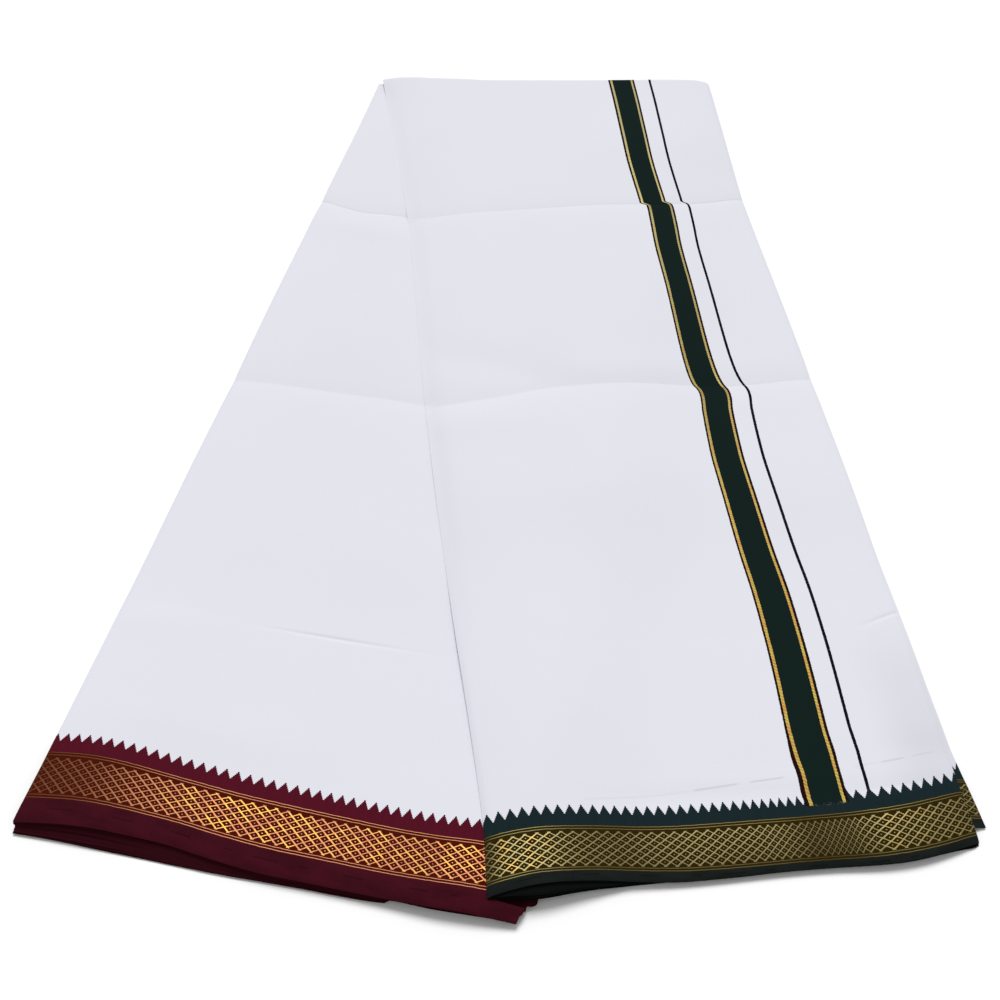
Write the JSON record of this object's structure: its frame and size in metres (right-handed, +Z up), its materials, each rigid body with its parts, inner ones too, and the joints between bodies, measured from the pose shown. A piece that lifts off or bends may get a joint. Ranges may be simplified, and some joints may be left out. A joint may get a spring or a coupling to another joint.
{
  "type": "folded dhoti cloth",
  "caption": "White cotton dhoti cloth folded flat and slightly fanned about its far fold, showing a maroon zari border at left, a dark green zari border at right and a green end stripe.",
  "frame": {"origin": "centre of the folded cloth's bounding box in plan, on the surface it rests on", "axes": "+Z up from the surface; +Y away from the borders, towards the far fold; +X to the right, towards the green-bordered half"},
  "size_m": [0.4264, 0.6451, 0.0134],
  "materials": {
    "white_cotton": "matte plain-woven white cotton",
    "green_stripe": "matte dark green cotton with golden yellow edge lines",
    "maroon_border": "maroon cotton with a band of gold zari lattice",
    "green_border": "dark green cotton with a band of gold zari lattice"
  },
  "bodies": {
    "root": {"folded_layers": "white_cotton", "lower_field": "white_cotton", "upper_field": "white_cotton", "end_field": "white_cotton", "top_fold": "white_cotton", "end_stripe": "green_stripe", "lower_border": "maroon_border", "upper_border": "green_border"}
  },
  "joints": []
}
